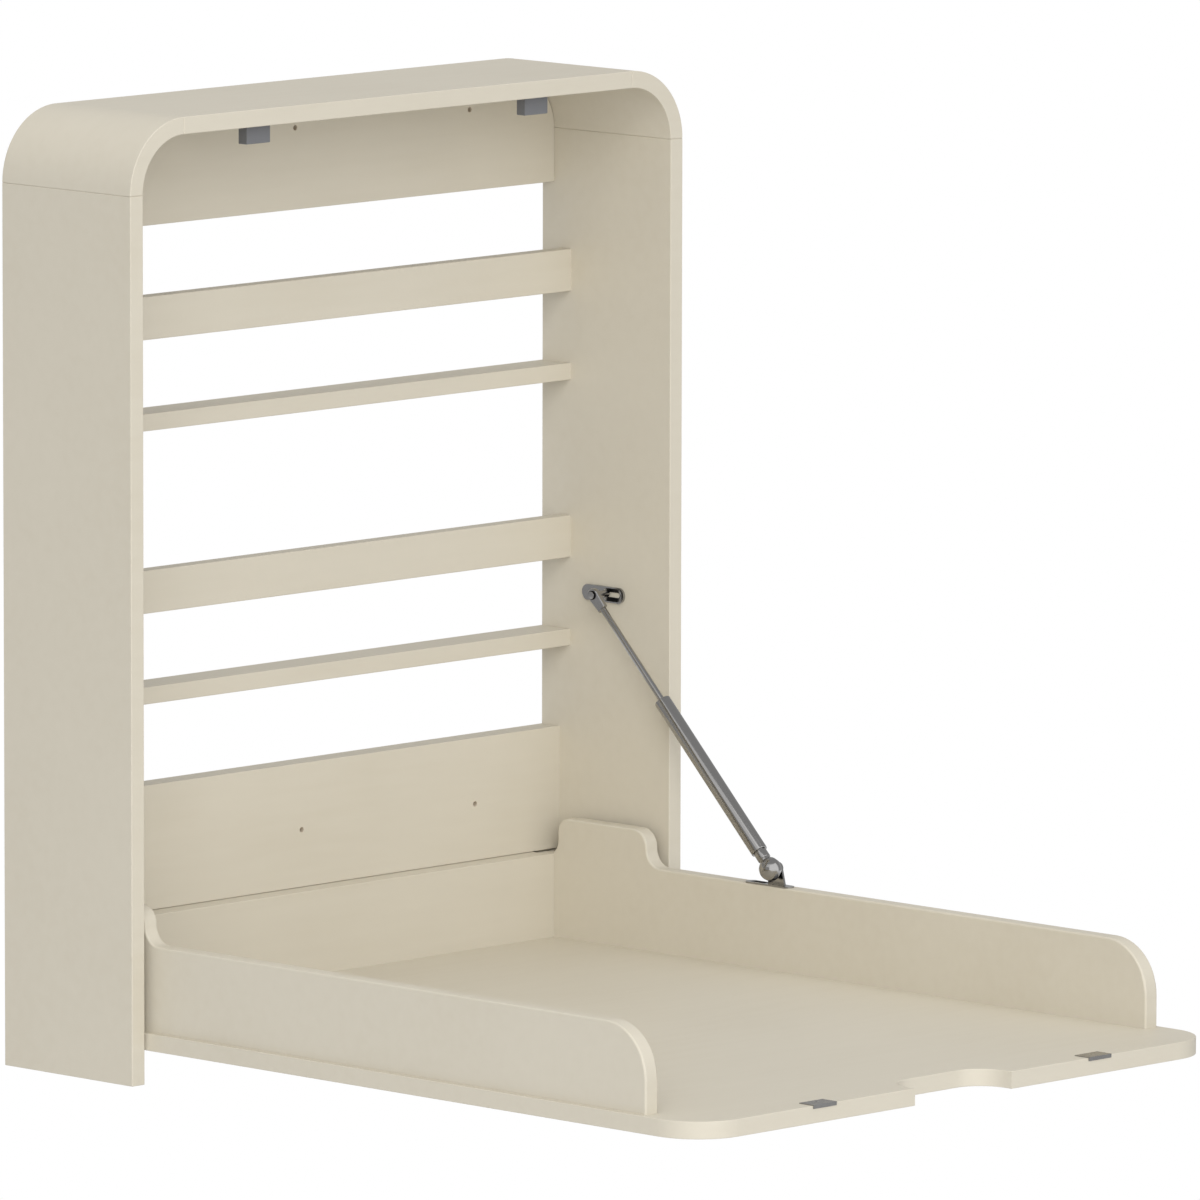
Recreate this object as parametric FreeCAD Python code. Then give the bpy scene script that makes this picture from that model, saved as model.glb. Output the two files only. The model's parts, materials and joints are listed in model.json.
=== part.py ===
import FreeCAD, Part
import math
import os

from FreeCAD import Vector

# Wall-hung baby changing station: a shallow open cabinet with two narrow shelves and a fold-down tray.
# Millimetres, drawn with the tray open. X runs across the width, +Y into the wall and +Z up.
# The wall face is Y = 0, and the origin is the middle of the pattern of wall screws on that face.

# Cabinet
cabinet_width = 720.0
cabinet_height = 885.0
cabinet_depth = 169.0
board = 16.0
corner_radius = 68.0
edge_round = 0.8
wall_round = 2.0
rail_corner_ease = 1.0

# Wall rails and the screw holes in them
upper_rail_height = 103.6
upper_hole_drop = 27.0
lower_rail_top = 246.0
lower_rail_height = 150.0
lower_rail_board = 24.0
lower_hole_drop = 63.0
rail_foot_board = 8.0
rail_gap = 1.3
wall_hole_pitch = 230.0
wall_hole_diameter = 5.0

# Shelves
shelf_depth = 38.0
lower_shelf_top = 340.5
shelf_pitch = 254.0
lip_height = 40.0
lip_gap = 68.5

# Tray, with the pivot measured from the front of the side panels and from their foot
pivot_set_back = 67.0
pivot_up = 98.5
top_gap = 2.5
base_side_gap = 2.0
base_corner_radius = 50.0
wall_side_gap = 7.5
wall_height = 80.0
wall_set_back = 70.8
wall_nose_radius = 50.0
back_clear = 8.0
back_pad = 8.0
back_pad_inset = 12.0
back_pad_rise = 1.0
back_slope_inset = 2.0
back_rebate = 5.0
back_fit = 0.1
ear_rise = 35.0
ear_set_in = 20.5
ear_ahead = 60.0
ear_rear_radius = 14.0
ear_foot_radius = 12.0
grip_width = 127.0
grip_depth = 39.0
grip_radius = 30.0

# Hidden pivots of the tray
hinge_pin_diameter = 10.0
hinge_sleeve_diameter = 16.0
hinge_flange_diameter = 24.0
hinge_hole_depth = 12.0
hinge_fit = 0.05
hinge_end_gap = 0.5
flange_play = 0.3

# Dowels
dowel_diameter = 8.0
dowel_in_face = 11.0
dowel_in_end = 19.0
dowel_fit = 0.1
dowel_inset = 40.0
shelf_dowel_inset = 10.0
wall_dowel_inset = 60.0
wall_dowel_count = 4

# Magnetic catches under the top and their strike plates on the tray
catch_offset = 181.0
catch_width = 30.0
catch_depth = 10.5
catch_height = 18.0
catch_skin = 2.0
catch_magnet_width = 13.0
catch_gap = 0.3
magnet_fit = 0.15
pole_thickness = 1.2
strike_length = 17.0
strike_lip = 3.5
strike_thickness = 0.8

# Screws of the fittings
screw_shank = 3.0
screw_head = 6.0
screw_fit = 0.1
screw_bite = 10.0
screw_recess = 2.2
screw_recess_depth = 1.0

# Gas strut, with its two ends measured from the tray's pivot along the depth
pin_behind = 12.1
pin_up = 379.75
ball_ahead = 220.3
tube_diameter = 16.0
tube_wall = 1.3
tube_foot = 3.0
tube_length = 182.0
tube_roll = 3.0
tube_end_gap = 20.8
guide_length = 10.0
seal_length = 4.0
rod_diameter = 6.0
rod_fit = 0.05
piston_length = 8.0
piston_fit = 0.1
piston_ring_width = 2.0
piston_ring_depth = 1.5
piston_drop = 5.0
stack_gap = 0.1
eye_width = 12.6
eye_foot_width = 10.0
eye_thickness = 5.0
eye_length = 17.5
eye_bevel = 0.7
pin_diameter = 5.0
pin_shoulder = 6.4
pin_head = 0.7
pin_head_diameter = 7.0
pin_fit = 0.05
clip_diameter = 8.6
clip_thickness = 0.8
plate_gap = 0.3
neck_diameter = 12.8
socket_diameter = 22.5
socket_ridge = 1.0
socket_face = 17.2
socket_depth = 6.0
socket_clearance = 3.35
socket_boss = 11.6
socket_boss_diameter = 11.5
ball_diameter = 10.0
ball_fit = 0.1
stud_diameter = 6.0
stud_fit = 0.05
stud_play = 1.5
stud_head = 3.0
stud_head_diameter = 11.0
stud_head_bevel = 1.0

# Plates that carry the strut
plate_width = 15.0
plate_thickness = 2.5
plate_slot = 17.0
plate_slot_width = 5.0
plate_peg_diameter = 4.0
plate_peg_length = 4.0
wall_plate_length = 54.6
wall_plate_behind = 34.1
wall_plate_drop = 1.4
wall_screw_behind = 10.9
wall_slot_ahead = 5.6
wall_sink_width = 3.8
wall_sink_depth = 1.6
bracket_length = 58.5
bracket_width = 11.5
bracket_behind = 33.6
bracket_set_in = 4.5
bracket_thickness = 1.2
bracket_slot_behind = 18.5
bracket_sink_width = 1.8
bracket_sink_depth = 0.8
lug_width = 22.0
lug_top_width = 11.0
lug_top_radius = 5.0
lug_thickness = 2.2
lug_margin = 3.0
lug_gap = 1.0

# Smallest length that counts
small = 0.01

# Places worked out from the sizes above
half_width = cabinet_width / 2
inner_half = half_width - board
inner_top = cabinet_height - board
corner_inner_radius = corner_radius - board
seam_x = half_width - corner_radius
seam_up = cabinet_height - corner_radius
upper_rail_foot = inner_top - upper_rail_height
lower_rail_foot = lower_rail_top - lower_rail_height
upper_hole_up = inner_top - upper_hole_drop
lower_hole_up = lower_rail_top - lower_hole_drop
datum = (upper_hole_up + lower_hole_up) / 2

pivot_out = cabinet_depth - pivot_set_back
pin_out = pivot_out - pin_behind
ball_out = pivot_out + ball_ahead
base_under = pivot_up - pivot_set_back
base_top = base_under + board
wall_top = base_top + wall_height
ear_top = wall_top + ear_rise
ear_front = pivot_out + ear_ahead
tray_front = inner_top - top_gap - pivot_up + pivot_out
wall_front = tray_front - wall_set_back
wall_outer = inner_half - wall_side_gap
wall_inner = wall_outer - board
base_half = inner_half - base_side_gap
back_front = rail_foot_board + back_clear + back_pad + board
tray_rear = back_front - board
ear_rear = tray_rear + ear_set_in
back_pad_half = wall_inner - back_pad_inset
rail_step_up = wall_top + rail_gap

catch_front = pivot_out + pivot_up - base_top - strike_thickness - catch_gap
hinge_flange = (wall_side_gap - flange_play) / 2
shelf_tops = {"lower": lower_shelf_top, "upper": lower_shelf_top + shelf_pitch}
wall_plate_rear = pin_out - wall_plate_behind
wall_plate_up = pin_up - wall_plate_drop
lug_outer = wall_outer - bracket_set_in
lug_inner = lug_outer - lug_thickness
bracket_x = lug_outer - bracket_width / 2
bracket_top = wall_top + bracket_thickness
bracket_rear = ball_out - bracket_behind
strut_x = lug_inner - lug_gap - socket_depth
ball_up = bracket_top + socket_clearance + socket_diameter / 2
across = Vector(1, 0, 0)
toward_wall = Vector(0, 1, 0)
upward = Vector(0, 0, 1)
oblique = Vector(1, 2, 3)
sides = {"left": -1, "right": 1}


def at(x, out, up):
    """Point from the middle of the width, the distance out from the wall and the height above the foot."""
    return Vector(x, -out, up - datum)


def block(x_span, out_span, up_span):
    """Box between two values each way, in either order across the width."""
    low_x, high_x = sorted(x_span)
    corner = at(low_x, out_span[1], up_span[0])
    return Part.makeBox(high_x - low_x, out_span[1] - out_span[0], up_span[1] - up_span[0], corner)


def bar(start, end, diameter):
    """Round bar from one point to another."""
    path = end - start
    return Part.makeCylinder(diameter / 2, path.Length, start, path)


def taper(start, end, first, last):
    """Round taper from one point to another, with a diameter at each end."""
    path = end - start
    return Part.makeCone(first / 2, last / 2, path.Length, start, path)


def corner_run(before, corner, after):
    """Start, middle and end of the arc that rounds a corner, or the corner itself where it is sharp."""
    here = Vector(corner[0], corner[1], 0)
    radius = corner[2]
    if radius == 0:
        return here, None, here
    back = (Vector(before[0], before[1], 0) - here).normalize()
    ahead = (Vector(after[0], after[1], 0) - here).normalize()
    half = back.getAngle(ahead) / 2
    inward = (back + ahead).normalize()
    start = here + back * (radius / math.tan(half))
    end = here + ahead * (radius / math.tan(half))
    middle = here + inward * (radius / math.sin(half) - radius)
    return start, middle, end


def outline(corners, place):
    """Flat face through corners (a, b, radius), where place turns (a, b) into a point of the object."""
    count = len(corners)
    runs = [corner_run(corners[i - 1], corners[i], corners[(i + 1) % count]) for i in range(count)]
    edges = []
    for i in range(count):
        start, middle, end = runs[i]
        following = runs[(i + 1) % count][0]
        if middle is not None:
            arc = Part.Arc(place(start.x, start.y), place(middle.x, middle.y), place(end.x, end.y))
            edges.append(arc.toShape())
        if end.distanceToPoint(following) > small:
            edges.append(Part.makeLine(place(end.x, end.y), place(following.x, following.y)))
    return Part.Face(Part.Wire(edges))


def eased(solid, wanted, radius=edge_round):
    """The solid with the edges that are wanted slightly rounded."""
    return solid.makeFillet(radius, [edge for edge in solid.Edges if wanted(edge)])


def every(edge):
    """Every edge of a board."""
    return True


def lengthwise(edge):
    """An edge that runs along the width."""
    return edge.BoundBox.XLength > small and edge.BoundBox.YLength + edge.BoundBox.ZLength < small


def rises(edge):
    """An edge that stands off the tray's floor."""
    return edge.BoundBox.ZMax > at(0, 0, base_top).z + small


def screw(point, inward, length):
    """Countersunk screw with a hex recess, its head level with the point and its shank going inward."""
    cone = (screw_head - screw_shank) / 2
    head = taper(point, point + inward * cone, screw_head, screw_shank)
    shank = bar(point + inward * cone, point + inward * length, screw_shank)
    recess = Part.Face(Part.makePolygon(hexagon(point, inward))).extrude(inward * screw_recess_depth)
    return head.fuse(shank).cut(recess).removeSplitter()


def hexagon(point, normal):
    """Closed hexagon about a point, across a line."""
    spoke = normal.cross(oblique).normalize() * (screw_recess / 2)
    return [point + FreeCAD.Rotation(normal, 60 * step).multVec(spoke) for step in range(7)]


def screw_hole(point, inward, length):
    """Room for a screw, with its clearance all round."""
    cone = (screw_head - screw_shank) / 2
    spare = 2 * screw_fit
    head = taper(point, point + inward * cone, screw_head + spare, screw_shank + spare)
    shank = bar(point + inward * cone, point + inward * (length + screw_fit), screw_shank + spare)
    return head.fuse(shank)


def dowel(point, into_end):
    """Wooden dowel across a joint face, longer on the side of the board's end."""
    return bar(point - into_end * dowel_in_face, point + into_end * dowel_in_end, dowel_diameter)


def dowel_hole(point, into_end):
    """Room for a dowel in both of the boards that it joins."""
    start = point - into_end * (dowel_in_face + dowel_fit)
    end = point + into_end * (dowel_in_end + dowel_fit)
    return bar(start, end, dowel_diameter + 2 * dowel_fit)


def bored(solid, joints):
    """The board with the holes of its dowels."""
    return solid.cut(Part.makeCompound([dowel_hole(point, way) for point, way in joints]))


def dowels(joints):
    """The dowels of a set of joints, as separate solids."""
    return Part.makeCompound([dowel(point, way) for point, way in joints])


def corner_joints():
    """Dowels across the seams of the rounded corners."""
    joints = []
    for side in sides.values():
        for out in (dowel_inset, cabinet_depth - dowel_inset):
            joints.append((at(side * (half_width - board / 2), out, seam_up), -upward))
            joints.append((at(side * seam_x, out, cabinet_height - board / 2), across * -side))
    return joints


def rail_joints():
    """Dowels from the side panels into the ends of the two wall rails."""
    ends = [(upper_rail_foot, seam_up, board / 2), (rail_step_up, lower_rail_top, lower_rail_board / 2)]
    joints = []
    for side in sides.values():
        for low, high, out in ends:
            quarter = (high - low) / 4
            for up in (low + quarter, high - quarter):
                joints.append((at(side * inner_half, out, up), across * -side))
    return joints


def shelf_joints():
    """Dowels from the side panels into the ends of the shelf boards and lips."""
    joints = []
    for side in sides.values():
        for top in shelf_tops.values():
            lip_foot = top + lip_gap
            for out in (shelf_dowel_inset, shelf_depth - shelf_dowel_inset):
                joints.append((at(side * inner_half, out, top - board / 2), across * -side))
            for up in (lip_foot + shelf_dowel_inset, lip_foot + lip_height - shelf_dowel_inset):
                joints.append((at(side * inner_half, shelf_depth - board / 2, up), across * -side))
    return joints


def tray_joints():
    """Dowels from the tray's floor up into its two walls."""
    first = tray_rear + wall_dowel_inset
    last = wall_front - wall_dowel_inset
    step = (last - first) / (wall_dowel_count - 1)
    joints = []
    for side in sides.values():
        for index in range(wall_dowel_count):
            middle = side * (wall_inner + wall_outer) / 2
            joints.append((at(middle, first + index * step, base_top), upward))
    return joints


def hinge_line(side, first, last):
    """Two points on the tray's pivot line, by their distances from the side panel's inner face."""
    return [at(side * (inner_half + step), pivot_out, pivot_up) for step in (first, last)]


def hinge_sleeve(side, face, depth, flange, bore):
    """Flanged sleeve in a board: face is where its flange sits, and the flange goes the other way."""
    sleeve = bar(*hinge_line(side, face, face + depth), hinge_sleeve_diameter)
    collar = bar(*hinge_line(side, face, face + flange), hinge_flange_diameter)
    hole = bar(*hinge_line(side, face + flange, face + depth), bore)
    return sleeve.fuse(collar).cut(hole).removeSplitter()


def hinge_bore(side, face, depth):
    """Blind hole in a board for a hinge sleeve."""
    return bar(*hinge_line(side, face, face + depth), hinge_sleeve_diameter + 2 * hinge_fit)


def hinge_parts():
    """Sockets in the panels, bushes in the tray's walls and the pins between them."""
    bore = hinge_pin_diameter + 2 * hinge_fit
    length = hinge_hole_depth - hinge_end_gap
    sockets = []
    bushes = []
    pins = []
    for side in sides.values():
        sockets.append(hinge_sleeve(side, 0.0, length, -hinge_flange, bore))
        bushes.append(hinge_sleeve(side, -wall_side_gap, -length, hinge_flange, bore))
        pins.append(bar(*hinge_line(side, length, -wall_side_gap - length), hinge_pin_diameter))
    return Part.makeCompound(sockets), Part.makeCompound(bushes), Part.makeCompound(pins)


def side_panel(side):
    """Straight side board, from its foot to the seam under the rounded corner."""
    panel = block((side * inner_half, side * half_width), (0, cabinet_depth), (0, seam_up))
    panel = eased(panel, every)
    panel = bored(panel, corner_joints() + rail_joints() + shelf_joints())
    panel = panel.cut(hinge_bore(side, 0.0, hinge_hole_depth))
    if side == sides["right"]:
        panel = panel.cut(wall_plate_holes())
    return panel


def top_corner(side):
    """Bent corner between a side board and the top."""
    middle = at(side * seam_x, cabinet_depth, seam_up)
    depth = toward_wall * cabinet_depth
    inner, outer = [
        [middle + across * (side * radius), middle + (across * side + upward) * (radius * math.sqrt(0.5)),
         middle + upward * radius] for radius in (corner_inner_radius, corner_radius)]
    edges = [
        Part.Arc(*inner).toShape(), Part.makeLine(inner[2], outer[2]),
        Part.Arc(*outer).toShape(), Part.makeLine(outer[0], inner[0])]
    bend = Part.Face(Part.Wire(Part.sortEdges(edges)[0])).extrude(depth)
    return bored(eased(bend, every), corner_joints())


def top_panel():
    """Flat top between the two corners."""
    panel = block((-seam_x, seam_x), (0, cabinet_depth), (inner_top, cabinet_height))
    panel = bored(eased(panel, every), corner_joints())
    return panel.cut(Part.makeCompound([screw_hole(*place) for place in catch_screw_places()]))


def wall_holes(up, thickness):
    """Three screw holes through a wall rail."""
    holes = []
    for x in (-wall_hole_pitch, 0, wall_hole_pitch):
        holes.append(bar(at(x, 0, up), at(x, thickness, up), wall_hole_diameter))
    return Part.makeCompound(holes)


def upper_wall_rail():
    """Rail under the top that the upper wall screws go through."""
    radius = corner_inner_radius + rail_corner_ease
    corners = [(-inner_half, upper_rail_foot, 0), (inner_half, upper_rail_foot, 0),
               (inner_half, inner_top, radius), (-inner_half, inner_top, radius)]
    face = outline(corners, lambda x, up: at(x, 0, up))
    rail = eased(face.extrude(-toward_wall * board), lengthwise)
    return bored(rail, rail_joints()).cut(wall_holes(upper_hole_up, board))


def lower_wall_rail():
    """Rail behind the tray, thinner along its foot where the tray's back wall swings past."""
    corners = [(0, lower_rail_foot, 0), (rail_foot_board, lower_rail_foot, 0),
               (rail_foot_board, rail_step_up, 0), (lower_rail_board, rail_step_up, 0),
               (lower_rail_board, lower_rail_top, 0), (0, lower_rail_top, 0)]
    face = outline(corners, lambda out, up: at(-inner_half, out, up))
    rail = eased(face.extrude(across * (2 * inner_half)), lengthwise)
    return bored(rail, rail_joints()).cut(wall_holes(lower_hole_up, lower_rail_board))


def shelf_board(top):
    """Narrow shelf against the wall."""
    shelf = block((-inner_half, inner_half), (0, shelf_depth), (top - board, top))
    return bored(eased(shelf, lengthwise), shelf_joints())


def shelf_lip(top):
    """Rail in front of a shelf that keeps things on it."""
    foot = top + lip_gap
    lip = block((-inner_half, inner_half), (shelf_depth - board, shelf_depth), (foot, foot + lip_height))
    return bored(eased(lip, lengthwise), shelf_joints())


def tray_base():
    """Floor of the tray, with a grip cut into its front edge."""
    grip_half = grip_width / 2
    grip_end = tray_front - grip_depth
    half = [(base_half, tray_rear, 0), (base_half, tray_front, base_corner_radius),
            (grip_half, tray_front, 0), (grip_half, grip_end, grip_radius)]
    corners = half + [(-x, out, radius) for x, out, radius in reversed(half)]
    base = outline(corners, lambda x, out: at(x, out, base_under)).extrude(upward * board)
    base = eased(base, lambda edge: edge.BoundBox.ZLength < small)
    base = bored(base, tray_joints()).cut(back_wall_room())
    return base.cut(Part.makeCompound([screw_hole(*place) for place in strike_screw_places()]))


def tray_wall(side):
    """Side wall of the tray, with the raised ear that carries the pivot."""
    bend = ear_rise / 2
    corners = [(tray_rear, base_top, 0), (wall_front, base_top, 0), (wall_front, wall_top, wall_nose_radius),
               (ear_front, wall_top, bend), (ear_front, ear_top, bend), (ear_rear, ear_top, ear_rear_radius),
               (ear_rear, wall_top, ear_foot_radius), (tray_rear, wall_top, 0)]
    face = outline(corners, lambda out, up: at(side * wall_inner, out, up))
    wall = eased(face.extrude(across * (side * board)), rises, wall_round)
    wall = bored(wall, tray_joints()).cut(back_wall_room())
    wall = wall.cut(hinge_bore(side, -wall_side_gap, -hinge_hole_depth))
    if side == sides["right"]:
        wall = wall.cut(bracket_holes())
    return wall


def back_wall_spans(fit):
    """Spans of the back wall, let into the floor and the side walls, with a fit added all round."""
    reach = wall_inner + back_rebate - back_fit + fit
    return (-reach, reach), (tray_rear, back_front + fit), (base_top - back_rebate + back_fit - fit, wall_top)


def back_wall_room():
    """Rebate for the back wall in the floor and the side walls, open at the top."""
    x_span, out_span, up_span = back_wall_spans(back_fit)
    return block(x_span, out_span, (up_span[0], ear_top))


def tray_back_wall():
    """Wall across the rear of the tray, thicker between the ears, where its top slopes up to the rail."""
    wall = block(*back_wall_spans(0.0))
    pad_rear = tray_rear - back_pad
    pad_top = wall_top + back_pad_rise
    corners = [(pad_rear, base_top, 0), (tray_rear, base_top, 0), (tray_rear, wall_top, 0),
               (back_front - back_slope_inset, wall_top, 0), (tray_rear, pad_top, 0), (pad_rear, pad_top, 0)]
    pad = outline(corners, lambda out, up: at(-back_pad_half, out, up)).extrude(across * (2 * back_pad_half))
    ridge = at(0, back_front, wall_top)

    def on_ridge(edge):
        box = edge.BoundBox
        return lengthwise(edge) and abs(box.YMax - ridge.y) + abs(box.ZMax - ridge.z) < small
    return eased(wall.fuse(pad).removeSplitter(), on_ridge)


def catch_screw_places():
    """Heads, directions and lengths of the screws that hold the catches under the top."""
    post = (catch_width + catch_magnet_width) / 4
    out = catch_front - catch_depth / 2
    up = inner_top - catch_height
    return [(at(side * catch_offset + step * post, out, up), upward, catch_height + screw_bite)
            for side in sides.values() for step in (-1, 1)]


def catch_pocket_spans(side, fit):
    """Spans of the pocket that holds a catch's magnet, with a fit added all round."""
    middle = side * catch_offset
    half = catch_magnet_width / 2
    return ((middle - half - fit, middle + half + fit),
            (catch_front - catch_depth + catch_skin - fit, catch_front - catch_skin + fit),
            (inner_top - catch_height + catch_skin - fit, inner_top))


def catch_housing(side):
    """Catch body under the top, hollow from above."""
    middle = side * catch_offset
    half = catch_width / 2
    body = block((middle - half, middle + half), (catch_front - catch_depth, catch_front),
                 (inner_top - catch_height, inner_top))
    body = eased(body, lambda edge: edge.BoundBox.ZMax < at(0, 0, inner_top).z - small)
    body = body.cut(block(*catch_pocket_spans(side, magnet_fit)))
    return body.cut(Part.makeCompound([screw_hole(*place) for place in catch_screw_places()]))


def catch_core():
    """Magnets of the catches, and the two steel pole plates beside each one."""
    magnets = []
    poles = []
    for side in sides.values():
        x_span, out_span, up_span = catch_pocket_spans(side, 0.0)
        up_span = (up_span[0], up_span[1] - magnet_fit)
        rear, front = out_span
        poles.append(block(x_span, (rear, rear + pole_thickness), up_span))
        poles.append(block(x_span, (front - pole_thickness, front), up_span))
        magnets.append(block(x_span, (rear + pole_thickness, front - pole_thickness), up_span))
    return Part.makeCompound(magnets), Part.makeCompound(poles)


def strike_screw_places():
    """Heads, directions and lengths of the screws in the strike plates."""
    out = tray_front - strike_length / 2 - strike_lip / 2
    up = base_top + strike_thickness
    length = strike_thickness + screw_bite
    return [(at(side * catch_offset, out, up), -upward, length) for side in sides.values()]


def strike_plate(side):
    """Angled steel plate on the tray's front edge that the magnet holds."""
    middle = side * catch_offset
    span = (middle - catch_width / 2, middle + catch_width / 2)
    top = base_top + strike_thickness
    flat = block(span, (tray_front - strike_length, tray_front + strike_thickness), (base_top, top))
    lip = block(span, (tray_front, tray_front + strike_thickness), (top - strike_lip, top))
    plate = flat.fuse(lip).removeSplitter()
    return plate.cut(Part.makeCompound([screw_hole(*place) for place in strike_screw_places()]))


def obround(place, rear, length, width):
    """Flat face with round ends, from its rear end and along the depth of the object."""
    half = width / 2
    near = rear + half
    far = rear + length - half
    edges = [
        Part.makeLine(place(near, half), place(far, half)),
        Part.Arc(place(far, half), place(rear + length, 0), place(far, -half)).toShape(),
        Part.makeLine(place(far, -half), place(near, -half)),
        Part.Arc(place(near, -half), place(rear, 0), place(near, half)).toShape()]
    return Part.Face(Part.Wire(edges))


def slot_room(place, rear, depth, sink_width, sink_depth):
    """Room of a slot with a countersunk mouth, through a plate that is extruded from a flat face."""
    wide = 2 * sink_width
    throat = obround(place, rear, plate_slot, plate_slot_width)
    mouth = obround(place, rear - sink_width, plate_slot + wide, plate_slot_width + wide)
    sink_foot = depth * (1 - sink_depth / depth.Length)
    wires = [throat.OuterWire.translated(sink_foot), mouth.OuterWire.translated(depth)]
    return throat.extrude(depth).fuse(Part.makeLoft(wires, True, True))


def wall_plate_peg():
    """Peg on the back of the wall plate that keeps it from turning."""
    out = wall_plate_rear + plate_width / 2
    end = inner_half + plate_peg_length
    return bar(at(inner_half, out, wall_plate_up), at(end, out, wall_plate_up), plate_peg_diameter)


def wall_plate_screw_place():
    """Head, direction and length of the screw behind the strut's upper pin."""
    out = pin_out - wall_screw_behind
    return at(inner_half - plate_thickness, out, wall_plate_up), across, plate_thickness + screw_bite


def wall_plate_holes():
    """Holes of the wall plate's peg and screw in the side panel."""
    out = wall_plate_rear + plate_width / 2
    end = inner_half + plate_peg_length + screw_fit
    ends = [at(x, out, wall_plate_up) for x in (inner_half, end)]
    return bar(*ends, plate_peg_diameter + 2 * screw_fit).fuse(screw_hole(*wall_plate_screw_place()))


def strut_wall_plate():
    """Slotted steel plate on the right side panel, behind the strut's upper pin."""
    def place(out, up):
        return at(inner_half, out, wall_plate_up + up)
    depth = across * -plate_thickness
    plate = obround(place, wall_plate_rear, wall_plate_length, plate_width).extrude(depth)
    slot_rear = pin_out + wall_slot_ahead - plate_slot / 2
    slot = slot_room(place, slot_rear, depth, wall_sink_width, wall_sink_depth)
    return plate.cut(slot).fuse(wall_plate_peg()).cut(screw_hole(*wall_plate_screw_place()))


def bracket_screw_place():
    """Head, direction and length of the screw under the strut's ball."""
    return at(bracket_x, ball_out, bracket_top), -upward, bracket_thickness + screw_bite


def bracket_peg():
    """Peg under the bracket that keeps it from turning."""
    out = bracket_rear + bracket_length - bracket_width / 2
    foot = wall_top - plate_peg_length
    return bar(at(bracket_x, out, wall_top), at(bracket_x, out, foot), plate_peg_diameter)


def bracket_holes():
    """Holes of the bracket's peg and screw in the top of the right wall."""
    out = bracket_rear + bracket_length - bracket_width / 2
    foot = wall_top - plate_peg_length - screw_fit
    peg = bar(at(bracket_x, out, wall_top), at(bracket_x, out, foot), plate_peg_diameter + 2 * screw_fit)
    return peg.fuse(screw_hole(*bracket_screw_place()))


def strut_tray_bracket():
    """Slotted steel bracket on the right wall's top edge, with an upright lug beside the strut's ball."""
    def place(out, across_plate):
        return at(bracket_x + across_plate, out, wall_top)
    rise = upward * bracket_thickness
    plate = obround(place, bracket_rear, bracket_length, bracket_width).extrude(rise)
    slot_rear = ball_out - bracket_slot_behind - plate_slot / 2
    slot = slot_room(place, slot_rear, rise, bracket_sink_width, bracket_sink_depth)
    top = ball_up + stud_diameter / 2 + lug_margin
    foot_half = lug_width / 2
    top_half = lug_top_width / 2
    corners = [(ball_out - foot_half, wall_top, 0), (ball_out + foot_half, wall_top, 0),
               (ball_out + top_half, top, lug_top_radius), (ball_out - top_half, top, lug_top_radius)]
    lug = outline(corners, lambda out, up: at(lug_inner, out, up)).extrude(across * lug_thickness)
    hole_ends = [at(x, ball_out, ball_up) for x in (lug_inner, lug_outer)]
    stud_hole = bar(*hole_ends, stud_diameter + 2 * stud_fit)
    bracket = plate.cut(slot).fuse(lug).cut(stud_hole).fuse(bracket_peg())
    return bracket.cut(screw_hole(*bracket_screw_place())).removeSplitter()


ball_centre = at(strut_x, ball_out, ball_up)
pin_centre = at(strut_x, pin_out, pin_up)
strut_length = ball_centre.distanceToPoint(pin_centre)
strut_way = (pin_centre - ball_centre).normalize()
strut_across = across.cross(strut_way)


def along(distance):
    """Point on the strut's axis, at a distance from its ball."""
    return ball_centre + strut_way * distance


tube_top = tube_end_gap + tube_length
tube_bore = tube_diameter - 2 * tube_wall
guide_top = tube_top - tube_roll
guide_foot = guide_top - guide_length
seal_foot = guide_foot - stack_gap - seal_length
piston_top = seal_foot - piston_drop
piston_foot = piston_top - piston_length
eye_foot = strut_length - eye_length


def turned(edges):
    """Solid turned about the strut ball's cross axis from a closed outline."""
    face = Part.Face(Part.Wire(edges))
    return face.revolve(ball_centre, across, 360)


def from_ball(offset, radius):
    """Point beside the strut's ball: an offset across the width and a distance from its cross axis."""
    return ball_centre + across * offset + upward * radius


def ball_stud():
    """Ball on a shank through the bracket's lug, with a head on the lug's far side."""
    ball = ball_diameter / 2
    shank = stud_diameter / 2
    head = stud_head_diameter / 2
    seat = lug_outer - strut_x
    end = seat + stud_head
    meet = math.sqrt(ball ** 2 - shank ** 2)
    return turned([
        Part.Arc(from_ball(-ball, 0), from_ball(0, ball), from_ball(meet, shank)).toShape(),
        Part.makeLine(from_ball(meet, shank), from_ball(seat, shank)),
        Part.makeLine(from_ball(seat, shank), from_ball(seat, head)),
        Part.makeLine(from_ball(seat, head), from_ball(end - stud_head_bevel, head)),
        Part.makeLine(from_ball(end - stud_head_bevel, head), from_ball(end, head - stud_head_bevel)),
        Part.makeLine(from_ball(end, head - stud_head_bevel), from_ball(end, 0)),
        Part.makeLine(from_ball(end, 0), from_ball(-ball, 0))])


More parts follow.
